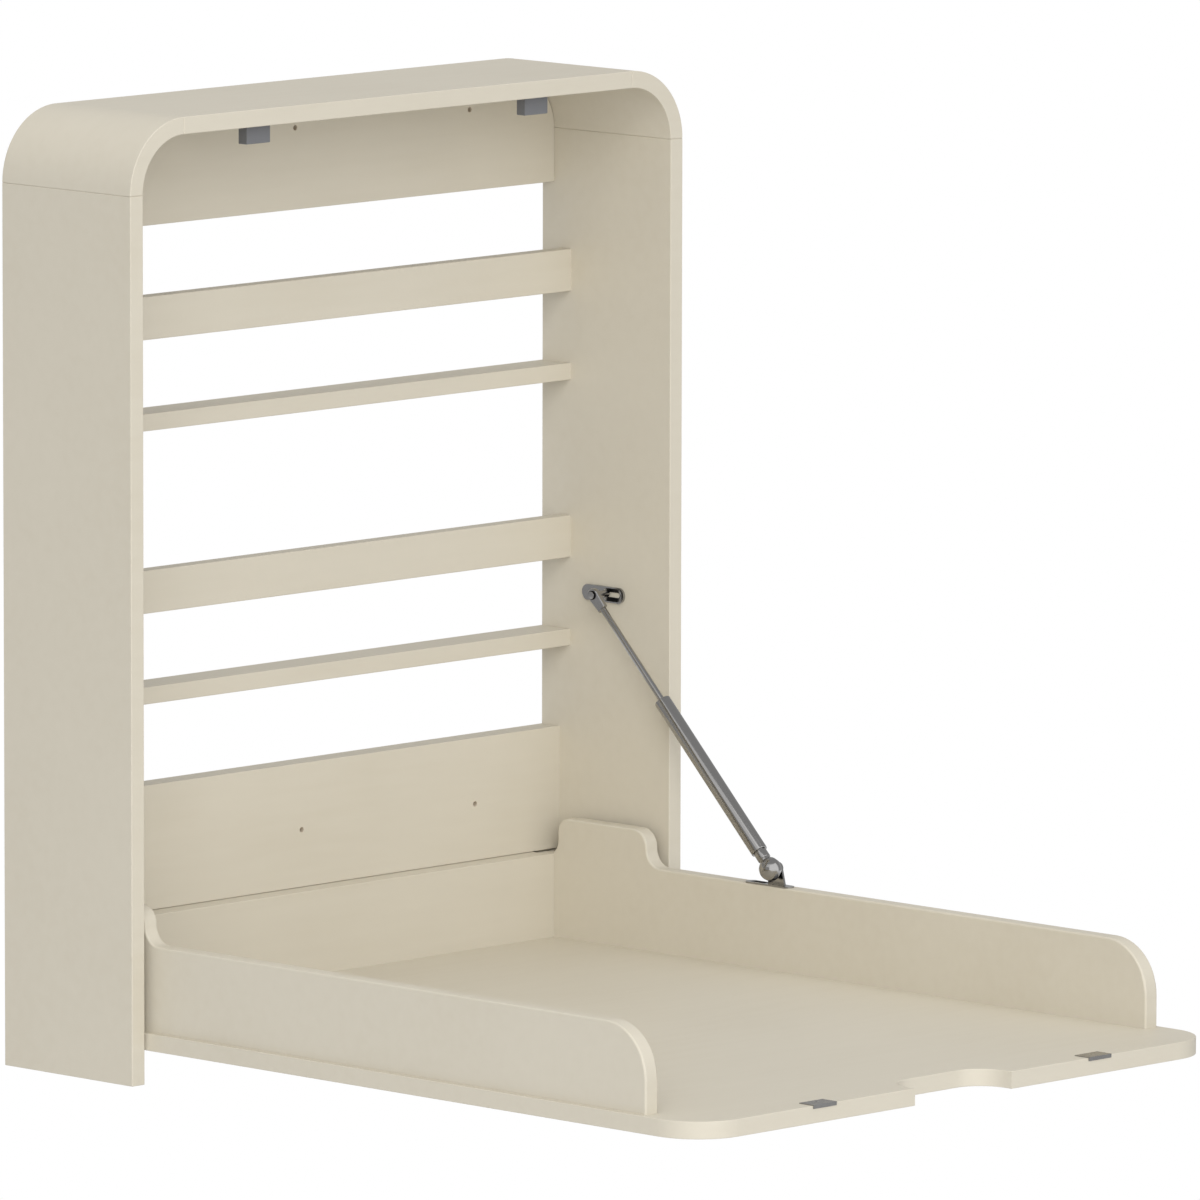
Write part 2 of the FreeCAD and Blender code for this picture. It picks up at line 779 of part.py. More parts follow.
def ball_socket():
    """Round socket over the ball, domed on the inner side and tapered to its open side at the lug."""
    outer = socket_diameter / 2
    face = socket_face / 2
    room = ball_diameter / 2 + ball_fit
    mouth = stud_diameter / 2 + stud_play
    meet = math.sqrt(room ** 2 - mouth ** 2)
    diagonal = outer * math.sqrt(0.5)
    body = turned([
        Part.Arc(from_ball(-outer, 0), from_ball(-diagonal, diagonal), from_ball(0, outer)).toShape(),
        Part.makeLine(from_ball(0, outer), from_ball(socket_ridge, outer)),
        Part.makeLine(from_ball(socket_ridge, outer), from_ball(socket_depth, face)),
        Part.makeLine(from_ball(socket_depth, face), from_ball(socket_depth, mouth)),
        Part.makeLine(from_ball(socket_depth, mouth), from_ball(meet, mouth)),
        Part.Arc(from_ball(meet, mouth), from_ball(0, room), from_ball(-room, 0)).toShape(),
        Part.makeLine(from_ball(-room, 0), from_ball(-outer, 0))])
    boss = bar(along((outer + room) / 2), along(socket_boss), socket_boss_diameter)
    return body.fuse(boss)


def strut_neck():
    """Short neck between the ball socket and the tube."""
    return bar(along(socket_boss), along(tube_end_gap), neck_diameter)


def strut_tube():
    """Pressure tube, closed at its foot and rolled in round the rod at its top."""
    body = bar(along(tube_end_gap), along(guide_top), tube_diameter)
    rolled = taper(along(guide_top), along(tube_top), tube_diameter, tube_diameter - 2 * tube_wall)
    bore = bar(along(tube_end_gap + tube_foot), along(guide_top), tube_bore)
    mouth = bar(along(guide_top), along(tube_top), rod_diameter + 2 * tube_wall)
    return body.fuse(rolled).cut(bore).cut(mouth).removeSplitter()


def strut_ring(foot, top, diameter, bore):
    """Ring on the strut's axis."""
    return bar(along(foot), along(top), diameter).cut(bar(along(foot), along(top), bore))


def rod_ring(foot, length):
    """Ring that fills the tube round the rod."""
    return strut_ring(foot, foot + length, tube_bore - 2 * rod_fit, rod_diameter + 2 * rod_fit)


def strut_piston():
    """Piston on the foot of the rod, with a groove for its ring."""
    body = strut_ring(piston_foot, piston_top, tube_bore - 2 * piston_fit, rod_diameter + 2 * rod_fit)
    middle = (piston_foot + piston_top) / 2
    groove = strut_ring(middle - piston_ring_width / 2 - rod_fit, middle + piston_ring_width / 2 + rod_fit,
                        tube_bore, tube_bore - 2 * piston_ring_depth - 2 * rod_fit)
    return body.cut(groove)


def piston_ring():
    """Sealing ring in the piston's groove."""
    middle = (piston_foot + piston_top) / 2
    return strut_ring(middle - piston_ring_width / 2, middle + piston_ring_width / 2,
                      tube_bore - 2 * rod_fit, tube_bore - 2 * piston_ring_depth)


def strut_rod():
    """Polished rod, from the piston to the foot of its eye."""
    return bar(along(piston_foot), along(eye_foot), rod_diameter)


def strut_eye():
    """Flat eye on the top of the rod, narrower at its foot and bevelled round both faces."""
    half_depth = across * (eye_thickness / 2)

    def place(distance, offset):
        return along(distance) + strut_across * offset - half_depth
    foot = eye_foot_width / 2
    head = eye_width / 2
    corners = [(eye_foot, -foot, 0), (strut_length, -head, 0), (strut_length, head, 0), (eye_foot, foot, 0)]
    shank = outline(corners, place).extrude(half_depth * 2)
    eye = shank.fuse(bar(pin_centre - half_depth, pin_centre + half_depth, eye_width)).removeSplitter()
    eye = eye.makeChamfer(eye_bevel, [edge for edge in eye.Edges if edge.BoundBox.XLength < small])
    return eye.cut(bar(pin_centre - half_depth, pin_centre + half_depth, pin_diameter + 2 * pin_fit))


def eye_pin():
    """Headed pin through the eye, ending just clear of the wall plate."""
    seat = eye_thickness / 2 + stack_gap
    head_foot = seat + clip_thickness + stack_gap
    head_top = pin_centre - across * (head_foot + pin_head)
    neck = pin_centre - across * head_foot
    shoulder = pin_centre + across * seat
    end = at(inner_half - plate_thickness - plate_gap, pin_out, pin_up)
    pin = bar(head_top, neck, pin_head_diameter).fuse(bar(neck, shoulder, pin_diameter))
    return pin.fuse(bar(shoulder, end, pin_shoulder)).removeSplitter()


def eye_clip():
    """Round clip between the eye and the head of its pin."""
    outer = pin_centre - across * (eye_thickness / 2 + stack_gap)
    inner = outer - across * clip_thickness
    return bar(outer, inner, clip_diameter).cut(bar(outer, inner, pin_diameter + 2 * pin_fit))


def build():
    """All pieces of the object, by the name of their node."""
    sockets, bushes, pins = hinge_parts()
    magnets, poles = catch_core()
    nodes = {
        "top_panel": top_panel(),
        "upper_wall_rail": upper_wall_rail(),
        "lower_wall_rail": lower_wall_rail(),
        "corner_dowels": dowels(corner_joints()),
        "rail_dowels": dowels(rail_joints()),
        "shelf_dowels": dowels(shelf_joints()),
        "hinge_sockets": sockets,
        "hinge_pins": pins,
        "hinge_bushes": bushes,
        "catch_magnets": magnets,
        "catch_pole_plates": poles,
        "catch_screws": Part.makeCompound([screw(*place) for place in catch_screw_places()]),
        "strut_wall_plate": strut_wall_plate(),
        "strut_wall_plate_screw": screw(*wall_plate_screw_place()),
        "tray_base": tray_base(),
        "tray_back_wall": tray_back_wall(),
        "tray_dowels": dowels(tray_joints()),
        "strike_plate_screws": Part.makeCompound([screw(*place) for place in strike_screw_places()]),
        "strut_tray_bracket": strut_tray_bracket(),
        "strut_tray_bracket_screw": screw(*bracket_screw_place()),
        "strut_ball_stud": ball_stud(),
        "strut_ball_socket": ball_socket(),
        "strut_neck": strut_neck(),
        "strut_tube": strut_tube(),
        "strut_rod_guide": rod_ring(guide_foot, guide_length),
        "strut_seal": rod_ring(seal_foot, seal_length),
        "strut_rod": strut_rod(),
        "strut_piston": strut_piston(),
        "strut_piston_ring": piston_ring(),
        "strut_eye": strut_eye(),
        "strut_eye_pin": eye_pin(),
        "strut_eye_clip": eye_clip(),
    }
    for name, side in sides.items():
        nodes[name + "_side_panel"] = side_panel(side)
        nodes[name + "_top_corner"] = top_corner(side)
        nodes[name + "_catch_housing"] = catch_housing(side)
        nodes[name + "_tray_wall"] = tray_wall(side)
        nodes[name + "_strike_plate"] = strike_plate(side)
    for name, top in shelf_tops.items():
        nodes[name + "_shelf_board"] = shelf_board(top)
        nodes[name + "_shelf_lip"] = shelf_lip(top)
    return nodes


def main():
    """Writes one STEP file for each node."""
    os.makedirs("parts", exist_ok=True)
    for name, shape in build().items():
        shape.exportStep(os.path.join("parts", name + ".step"))


main()
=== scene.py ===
import json
import math

import bmesh
import bpy
from mathutils import Matrix, Vector


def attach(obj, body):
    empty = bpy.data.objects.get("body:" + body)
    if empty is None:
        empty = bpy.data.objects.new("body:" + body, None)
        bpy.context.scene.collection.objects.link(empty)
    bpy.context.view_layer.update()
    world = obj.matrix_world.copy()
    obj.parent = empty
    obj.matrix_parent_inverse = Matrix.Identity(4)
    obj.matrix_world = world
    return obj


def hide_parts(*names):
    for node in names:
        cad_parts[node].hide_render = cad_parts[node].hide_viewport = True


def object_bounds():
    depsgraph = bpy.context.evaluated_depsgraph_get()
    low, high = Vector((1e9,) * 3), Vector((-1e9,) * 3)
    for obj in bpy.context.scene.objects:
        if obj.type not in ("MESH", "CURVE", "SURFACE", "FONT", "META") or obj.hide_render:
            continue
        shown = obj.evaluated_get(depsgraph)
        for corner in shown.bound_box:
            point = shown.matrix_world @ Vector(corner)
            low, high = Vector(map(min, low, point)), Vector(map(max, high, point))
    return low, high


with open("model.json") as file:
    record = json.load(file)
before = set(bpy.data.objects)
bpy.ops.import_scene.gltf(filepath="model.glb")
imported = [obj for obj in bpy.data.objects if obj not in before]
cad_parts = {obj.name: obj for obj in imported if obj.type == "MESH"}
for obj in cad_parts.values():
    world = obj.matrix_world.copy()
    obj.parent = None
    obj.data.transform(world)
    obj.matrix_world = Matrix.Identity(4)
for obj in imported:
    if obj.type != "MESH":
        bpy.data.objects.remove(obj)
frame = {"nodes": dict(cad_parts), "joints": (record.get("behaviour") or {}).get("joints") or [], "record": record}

# Looks of a wall-hung changing station: a cream open cabinet, a fold-down tray and one gas strut.
# Everything is in metres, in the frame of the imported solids. X runs across, +Y into the wall and +Z up.

mm = 0.001
cad_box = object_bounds()
nodes = frame["nodes"]
joints = {joint["name"]: joint for joint in frame["joints"]}
mounts = {mount["name"]: mount for mount in frame["record"]["mounts"]}

# Camera
camera_target = Vector((0.00847, -0.40473, -0.07650))
camera_azimuth = math.radians(-45.695)
camera_elevation = math.radians(7.808)
camera_roll = math.radians(0.12)
camera_distance = 13.845
camera_lens = 453.7

# Light and surroundings
ambient_level = 0.4635
lamp_distance = 10.0
white = (1, 1, 1, 1)
# Name, azimuth and elevation in degrees, width in metres and power in watts of each lamp
lamps = [
    ("key", -45, 28, 6.4, 453.0),
    ("low", -35, 0, 5.0, 216.0),
    ("side", -90, 10, 5.0, 15.0),
    ("front", 5, 18, 5.0, 101.0),
    ("top", -45, 88, 8.0, 325.0),
    ("back", 135, 20, 6.4, 34.0)]
floor_drop = 0.75
floor_radius = 3.0
floor_clear = 1.2
floor_tone = 0.85
floor_steps = 96
# What reflections see above the floor: a front softbox, a white gap high on its left, and grey all round
surround_radius = 8.0
surround_steps = (180, 90)
surround_grey = 0.46
surround_low = math.radians(-12)
softbox_glow = 1.35
softbox_across = (math.radians(-62), math.radians(36))
gap_across = (math.radians(-98), math.radians(-64))
gap_up = (math.radians(24), math.radians(52))
overhead = math.radians(55)

# Colours of the finishes
cream = (0.632, 0.586, 0.486, 1)
cream_pale = (0.642, 0.596, 0.496, 1)
cream_deep = (0.618, 0.570, 0.468, 1)
board_core = (0.610, 0.530, 0.420, 1)
steel_pale = (0.400, 0.395, 0.390, 1)
steel_deep = (0.340, 0.335, 0.330, 1)
steel_dull = (0.230, 0.228, 0.227, 1)
# Blackened steel of the eye clip; the same black is painted into the plates' slots as painted shade and dark
# reflection
steel_black_and_slot_shade = (0.020, 0.020, 0.021, 1)
steel_burnt = (0.030, 0.030, 0.032, 1)
beech_dark = (0.42, 0.26, 0.13, 1)
beech_plain = (0.60, 0.42, 0.24, 1)
beech_pale = (0.68, 0.50, 0.31, 1)
housing_pale = (0.182, 0.186, 0.198, 1)
housing_deep = (0.137, 0.141, 0.152, 1)
bush_pale = (0.62, 0.62, 0.60, 1)
bush_deep = (0.54, 0.54, 0.52, 1)
rubber_pale = (0.035, 0.035, 0.035, 1)
rubber_deep = (0.022, 0.022, 0.022, 1)
ferrite_pale = (0.095, 0.095, 0.10, 1)
ferrite_deep = (0.06, 0.06, 0.065, 1)

# Roughness of the finishes, and how far their patterns sway it
lacquer_rough = 0.40
lacquer_cloud_sway = 0.08
lacquer_peel_sway = 0.06
core_rougher = 0.4
tube_rough = 0.14
plate_rough = 0.16
rod_rough = 0.10
dull_rough = 0.22
black_rough = 0.35
metal_cloud_sway = 0.05
metal_line_sway = 0.03
slot_rougher = 0.3
housing_rough = 0.5
bush_rough = 0.45
rubber_rough = 0.7
ferrite_rough = 0.6
pit_sway = 0.1
beech_rough = 0.55
fleck_sway = 0.2

# Patterns of the finishes, in cells to the metre
lacquer_clouds = 7.0
lacquer_brushing = (9.0, 90.0, 90.0)
lacquer_peel = 620.0
core_fibres = 900.0
metal_clouds = 90.0
even_lines = (240.0, 240.0, 240.0)
tube_lines = (1500.0, 1500.0, 12.0)
rod_lines = (900.0, 900.0, 8.0)
plastic_clouds = 60.0
fine_pits = 900.0
rubber_pits = 500.0
ferrite_pits = 1400.0
beech_grain = (60.0, 900.0, 900.0)
beech_flecks = (300.0, 2500.0, 2500.0)

# The core shows out to this many times a hole's radius, and at least at this strength
hole_rim = 1.06
core_least = 0.75

# Strut: distances along its axis from the ball, and offsets across from the ball
strut_foot = Vector(joints["strut_swing"]["pos_m"])
strut_way = Vector(joints["strut_slide"]["axis"])
across = Vector((1, 0, 0))
tube_span = (20.8 * mm, 202.8 * mm)
tube_radius = 8.0 * mm
tube_wall = 1.3 * mm
tube_lid = 3.0 * mm
tube_mouth = 4.3 * mm
neck_foot = 11.6 * mm
neck_radius = 6.4 * mm
neck_groove = 0.8 * mm
spigot_foot = 9.0 * mm
spigot_radius = 5.75 * mm
rod_span = (172.7 * mm, 314.04 * mm)
rod_radius = 3.0 * mm
socket_radius = 11.25 * mm
socket_ridge = 1.0 * mm
socket_depth = 6.0 * mm
socket_face = 8.6 * mm
socket_room = 5.1 * mm
socket_mouth = 4.5 * mm
ball_radius = 5.0 * mm
stud_radius = 3.0 * mm
stud_seat = 9.2 * mm
stud_head = 3.0 * mm
stud_head_radius = 5.5 * mm
stud_bevel = 1.0 * mm
pin_reach = 331.54 * mm
strut_pivot = strut_foot + strut_way * pin_reach
pin_radius = 2.5 * mm
pin_seat = 2.6 * mm
pin_end = 18.4 * mm
pin_shoulder = 3.2 * mm
pin_head_foot = 3.5 * mm
pin_head = 0.7 * mm
pin_head_radius = 3.5 * mm
clip_radius = 4.3 * mm
clip_bore = 2.55 * mm
clip_thickness = 0.8 * mm
fine_ease = 0.2 * mm
rim_ease = 0.7 * mm
ease_steps = 4
arc_steps = 20
lathe_steps = 96
sharp_angle = math.radians(32)
weld = 0.01 * mm
fine_weld = 0.001 * mm

# Countersunk slots of the strut's two plates, where painted black stands for the shade and dark reflections in
# their sinks: places from the two pivots, half widths and where that painted shade fades
wall_slot_shift = Vector((0, -5.6, -1.4)) * mm
bracket_slot_shift = Vector((3.45, 18.5, 0)) * mm
wall_slot_half = 6.2 * mm
bracket_slot_half = 4.2 * mm
slot_shade_fade = (6.5 * mm, 10.0 * mm)

# Screws and dowels
screw_shank = 3.0 * mm
screw_head = 6.0 * mm
screw_recess = 2.2 * mm
screw_recess_depth = 1.0 * mm
thread_pitch = 1.25 * mm
thread_depth = 0.3 * mm
thread_share = 0.6
head_sides = 32
recess_sides = 6
bar_sides = 16
thread_sides = 14
past_tip = 1.0
dowel_diameter = 8.0 * mm
dowel_flute = 0.45 * mm
dowel_flutes = 20
dowel_chamfer = 1.0 * mm


class Value:
    """An output in a node tree. Python's operators on it, from either side, add Math nodes."""

    def __init__(self, sheet, socket):
        self.sheet = sheet
        self.socket = socket

    def maths(self, operation, first, second):
        return self.sheet.node("ShaderNodeMath", {"operation": operation}, {0: first, 1: second})

    def __add__(self, other):
        return self.maths("ADD", self, other)

    def __radd__(self, other):
        return self.maths("ADD", other, self)

    def __sub__(self, other):
        return self.maths("SUBTRACT", self, other)

    def __rsub__(self, other):
        return self.maths("SUBTRACT", other, self)

    def __mul__(self, other):
        return self.maths("MULTIPLY", self, other)

    def __rmul__(self, other):
        return self.maths("MULTIPLY", other, self)

    def __truediv__(self, other):
        return self.maths("DIVIDE", self, other)

    def __rtruediv__(self, other):
        return self.maths("DIVIDE", other, self)

    def __lt__(self, other):
        return self.maths("LESS_THAN", self, other)

    def __gt__(self, other):
        return self.maths("GREATER_THAN", self, other)

    def __mod__(self, other):
        return self.maths("MODULO", self, other)

    def __rmod__(self, other):
        return self.maths("MODULO", other, self)

    def larger(self, other):
        return self.maths("MAXIMUM", self, other)

    def size(self):
        return self.maths("ABSOLUTE", self, 0.0)

    def beside(self, output):
        """Another output of the same node."""
        return Value(self.sheet, self.socket.node.outputs[output])


class Sheet:
    """A node tree that is written as Python expressions."""

    def __init__(self, tree):
        self.tree = tree

    def node(self, kind, settings=None, sockets=None, output=0):
        """One node: its settings come first, then the values or links of its sockets."""
        made = self.tree.nodes.new(kind)
        for name, value in (settings or {}).items():
            if name == "stops":
                set_stops(made.color_ramp, value)
            else:
                setattr(made, name, value)
        for key, value in (sockets or {}).items():
            for part in value if isinstance(value, list) else [value]:
                if isinstance(part, Value):
                    self.tree.links.new(part.socket, made.inputs[key])
                else:
                    made.inputs[key].default_value = part
        return Value(self, made.outputs[output]) if made.outputs else None

    def shared(self, first, second, share):
        """A share of one value, and the rest from another."""
        return first * share + second * (1 - share)

    def blend(self, factor, first, second):
        """A colour between two colours, which are the Mix node's sockets 6 and 7."""
        return self.node("ShaderNodeMix", {"data_type": "RGBA"}, {0: factor, 6: first, 7: second}, 2)

    def noise(self, place, scale, detail=2.0, roughness=0.5):
        """Soft noise, about 0.5, at a number of cells to the metre."""
        sockets = {"Vector": place, "Scale": scale, "Detail": detail, "Roughness": roughness}
        return self.node("ShaderNodeTexNoise", None, sockets)

    def stretched(self, place, scale, turn=(0, 0, 0)):
        """The place turned and then scaled along each axis."""
        straight = self.node("ShaderNodeMapping", None, {"Vector": place, "Rotation": turn})
        return self.node("ShaderNodeMapping", None, {"Vector": straight, "Scale": scale})

    def bump(self, height, strength, distance):
        """A normal that follows a height."""
        sockets = {"Height": height, "Strength": strength, "Distance": distance}
        return self.node("ShaderNodeBump", None, sockets)


def set_stops(ramp, stops):
    """Gives a colour ramp its stops, from places and colours."""
    while len(ramp.elements) < len(stops):
        ramp.elements.new(1.0)
    for element, (position, colour) in zip(ramp.elements, stops):
        element.position = position
        element.color = colour


def new_finish(name):
    """An empty material and the place on the piece that its patterns follow."""
    material = bpy.data.materials.new(name)
    material.use_nodes = True
    material.node_tree.nodes.clear()
    sheet = Sheet(material.node_tree)
    return material, sheet, sheet.node("ShaderNodeTexCoord", None, None, "Object")


def close_finish(sheet, sockets):
    """Ends a material in one shader with these sockets."""
    shader = sheet.node("ShaderNodeBsdfPrincipled", None, sockets)
    sheet.node("ShaderNodeOutputMaterial", None, {"Surface": shader})


def lacquered_board(name, holes=()):
    """Satin cream lacquer on board, with the raw core showing inside the wall screws' holes."""
    material, sheet, place = new_finish(name)
    cloud = sheet.noise(place, lacquer_clouds, detail=3.0)
    brush = sheet.noise(sheet.stretched(place, lacquer_brushing), 1.0, detail=3.0)
    peel = sheet.noise(place, lacquer_peel, detail=1.0)
    tone = sheet.shared(cloud, brush, share=0.55)
    stops = [(0.32, cream_deep), (0.5, cream), (0.68, cream_pale)]
    colour = sheet.node("ShaderNodeValToRGB", {"stops": stops}, {"Fac": tone})
    rough = lacquer_rough + cloud * lacquer_cloud_sway + peel * lacquer_peel_sway
    if holes:
        core = hole_mask(sheet, place, holes)
        fibre = sheet.noise(place, core_fibres)
        strength = core_least + fibre * (1 - core_least)
        colour = sheet.blend(core * strength, colour, board_core)
        rough = rough + core * core_rougher
    close_finish(sheet, {
        "Base Color": colour, "Roughness": rough,
        "Normal": sheet.bump(peel, strength=0.12, distance=0.05 * mm)})
    return material


def hole_mask(sheet, place, holes):
    """1 inside the wall screws' holes and at their rims, and 0 elsewhere."""
    sideways = sheet.node("ShaderNodeSeparateXYZ", None, {0: place}, "X")
    upward = sideways.beside("Z")
    mask = None
    for x, z, radius in holes:
        from_x = sideways - x
        from_z = upward - z
        inside = (from_x * from_x + from_z * from_z) < (radius * hole_rim) ** 2
        mask = inside if mask is None else mask.larger(inside)
    return mask


def wall_holes():
    """Places and radii of the wall screws' holes, from the part's two bolt patterns."""
    corners = mounts["wall_screws"]["dims"]
    half_up = corners["spacing_y_mm"] * mm / 2
    half_across = corners["spacing_x_mm"] * mm / 2
    radius = corners["hole_r_mm"] * mm
    return [(x, z, radius) for x in (-half_across, 0.0, half_across) for z in (-half_up, half_up)]


def worked_metal(name, light, dark, rough, way=even_lines, turn=(0, 0, 0), slot=None):
    """Plated or drawn metal: fine lines along one way, small clouds and an uneven shine.

    A slot is its middle, the axis across it and its half width. It is painted black as painted shade and dark
    reflection in the countersink, and that fades at its ends.
    """
    material, sheet, place = new_finish(name)
    lines = sheet.noise(sheet.stretched(place, way, turn), 1.0, detail=4.0, roughness=0.6)
    cloud = sheet.noise(place, metal_clouds, detail=3.0)
    colour = sheet.blend(sheet.shared(lines, cloud, share=0.6), dark, light)
    least = rough - (metal_cloud_sway + metal_line_sway) / 2
    shine = least + cloud * metal_cloud_sway + lines * metal_line_sway
    if slot:
        middle, side, half = slot
        near, far = slot_shade_fade
        along = sheet.node("ShaderNodeSeparateXYZ", None, {0: place}, "Y")
        aside = along.beside(side) - getattr(middle, side.lower())
        sockets = {"Value": (along - middle.y).size(), "From Min": far, "From Max": near}
        fade = sheet.node("ShaderNodeMapRange", {"interpolation_type": "SMOOTHSTEP"}, sockets)
        # Painted shade: black across the slot's width stands for the shade and dark reflections inside the
        # countersink
        black = (aside.size() < half) * fade
        colour = sheet.blend(black, colour, steel_black_and_slot_shade)
        shine = shine + black * slot_rougher
    close_finish(sheet, {
        "Base Color": colour, "Roughness": shine, "Metallic": 1.0,
        "Normal": sheet.bump(lines, strength=0.03, distance=0.02 * mm)})
    return material


def moulded_plastic(name, light, dark, rough, grain=fine_pits):
    """Matt moulded plastic with a fine spark-eroded grain."""
    material, sheet, place = new_finish(name)
    pits = sheet.noise(place, grain)
    cloud = sheet.noise(place, plastic_clouds)
    colour = sheet.blend(sheet.shared(pits, cloud, share=0.5), dark, light)
    close_finish(sheet, {
        "Base Color": colour, "Roughness": rough - pit_sway / 2 + pits * pit_sway,
        "Normal": sheet.bump(pits, strength=0.25, distance=0.05 * mm)})
    return material


def beech_wood(name):
    """Plain beech with short flecks along the grain."""
    material, sheet, place = new_finish(name)
    grain = sheet.noise(sheet.stretched(place, beech_grain), 1.0, detail=4.0)
    fleck = sheet.noise(sheet.stretched(place, beech_flecks), 1.0)
    stops = [(0.3, beech_dark), (0.55, beech_plain), (0.75, beech_pale)]
    tone = sheet.shared(grain, fleck, share=0.7)
    colour = sheet.node("ShaderNodeValToRGB", {"stops": stops}, {"Fac": tone})
    close_finish(sheet, {
        "Base Color": colour, "Roughness": beech_rough + fleck * fleck_sway,
        "Normal": sheet.bump(fleck, strength=0.2, distance=0.1 * mm)})
    return material


def paint(material, *names):
    """Gives CAD nodes a material."""
    for name in names:
        slots = nodes[name].data.materials
        slots.clear()
        slots.append(material)


def ambient():
    """Even light from all round, with a white background for the camera and for reflections."""
    world = bpy.data.worlds.new("studio")
    bpy.context.scene.world = world
    world.use_nodes = True
    world.node_tree.nodes.clear()
    sheet = Sheet(world.node_tree)
    seen = sheet.node("ShaderNodeLightPath", None, None, "Is Camera Ray")
    mirrored = sheet.node("ShaderNodeLightPath", None, None, "Is Glossy Ray")
    through = sheet.node("ShaderNodeLightPath", None, None, "Is Transmission Ray")
    bare = seen.larger(mirrored).larger(through)
    soft = sheet.node("ShaderNodeBackground", None, {"Color": white, "Strength": ambient_level})
    plain = sheet.node("ShaderNodeBackground", None, {"Color": white, "Strength": 1.0})
    shown = sheet.node("ShaderNodeMixShader", None, {0: bare, 1: soft, 2: plain})
    sheet.node("ShaderNodeOutputWorld", None, {"Surface": shown})


def bearing(azimuth, elevation):
    """Direction from the object to something seen at an azimuth and an elevation."""
    level = math.cos(elevation)
    return Vector((math.sin(azimuth) * level, -math.cos(azimuth) * level, math.sin(elevation)))


def softbox(name, azimuth, elevation, size, power):
    """Square lamp that points at the object. Neither the camera nor a reflection sees it."""
    lamp = bpy.data.lights.new(name, "AREA")
    lamp.size = size
    lamp.energy = power
    holder = bpy.data.objects.new(name, lamp)
    way = bearing(math.radians(azimuth), math.radians(elevation))
    holder.location = camera_target + way * lamp_distance
    holder.rotation_euler = way.to_track_quat("Z", "Y").to_euler()
    holder.visible_camera = False
    holder.visible_glossy = False
    bpy.context.scene.collection.objects.link(holder)


def glow_card(name, level, wanted):
    """Part of a globe round the object that only reflections see, glowing at one level.

    The part is where wanted says so, by the azimuth and the elevation.
    """
    material, sheet, _ = new_finish(name)
    shine = sheet.node("ShaderNodeEmission", None, {"Color": white, "Strength": level})
    sheet.node("ShaderNodeOutputMaterial", None, {"Surface": shine})
    form = bmesh.new()
    round_steps, rise_steps = surround_steps
    bmesh.ops.create_uvsphere(form, u_segments=round_steps, v_segments=rise_steps, radius=surround_radius)
    spare = []
    for face in form.faces:
        way = face.calc_center_median().normalized()
        if not wanted(math.atan2(way.x, -way.y), math.asin(way.z)):
            spare.append(face)
    bmesh.ops.delete(form, geom=spare, context="FACES")
    bmesh.ops.translate(form, verts=form.verts, vec=camera_target)
    card = add_piece(name, form, material)
    card.visible_camera = False
    card.visible_diffuse = False
    card.visible_transmission = False
    card.visible_shadow = False


def in_softbox(azimuth, elevation):
    """Whether a direction meets the front softbox."""
    inside = softbox_across[0] < azimuth < softbox_across[1]
    return inside and surround_low < elevation < overhead


def in_grey(azimuth, elevation):
    """Whether a direction meets the grey surround."""
    in_gap = gap_across[0] < azimuth < gap_across[1] and gap_up[0] < elevation < gap_up[1]
    return elevation > surround_low and not in_gap and not in_softbox(azimuth, elevation)


def studio_floor():
    """Pale round floor well below the tray that fades out into the background."""
    material, sheet, place = new_finish("studio_floor")
    form = bmesh.new()
    bmesh.ops.create_circle(form, cap_ends=True, segments=floor_steps, radius=floor_radius)
    centre = (cad_box[0] + cad_box[1]) / 2
    spot = Vector((centre.x, centre.y, cad_box[0].z - floor_drop))
    bmesh.ops.translate(form, verts=form.verts, vec=spot)
    floor = add_piece("floor", form, material)
    reach = sheet.node("ShaderNodeVectorMath", {"operation": "DISTANCE"}, {0: place, 1: spot}, "Value")
    sockets = {"Value": reach, "From Min": floor_clear, "From Max": floor_radius}
    fade = sheet.node("ShaderNodeMapRange", {"interpolation_type": "SMOOTHSTEP"}, sockets)
    matt = sheet.node("ShaderNodeBsdfDiffuse", None, {"Color": (floor_tone, floor_tone, floor_tone, 1)})
    gone = sheet.node("ShaderNodeBsdfTransparent")
    shown = sheet.node("ShaderNodeMixShader", None, {0: fade, 1: matt, 2: gone})
    sheet.node("ShaderNodeOutputMaterial", None, {"Surface": shown})


def add_piece(name, form, material):
    """A new object at the origin from a bmesh, which it uses up."""
    mesh = bpy.data.meshes.new(name)
    form.to_mesh(mesh)
    form.free()
    mesh.materials.append(material)
    piece = bpy.data.objects.new(name, mesh)
    bpy.context.scene.collection.objects.link(piece)
    return piece


def give(piece, body, slot, *names):
    """Hands a finished piece to a body, in place of CAD nodes, which it hides. The slot is not used."""
    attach(piece, body)
    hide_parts(*names)


def eased(profile):
    """Points of a profile of (along, radius, easing) corners, each eased corner as a short curve."""
    points = []
    for number, (along, radius, easing) in enumerate(profile):
        corner = Vector((along, radius))
        if not easing:
            points.append(corner)
            continue
        before = Vector(profile[number - 1][:2]) - corner
        after = Vector(profile[number + 1][:2]) - corner
        start = corner + before.normalized() * easing
        end = corner + after.normalized() * easing
        for step in range(ease_steps + 1):
            part = step / ease_steps
            points.append(start * (1 - part) ** 2 + corner * (2 * part * (1 - part)) + end * part ** 2)
    return points


def arc(radius, first, last):
    """Corners of a profile on an arc about the start of the axis, between two angles from the axis."""
    turns = [first + (last - first) * step / arc_steps for step in range(arc_steps + 1)]
    return [(radius * math.cos(turn), radius * math.sin(turn), 0) for turn in turns]


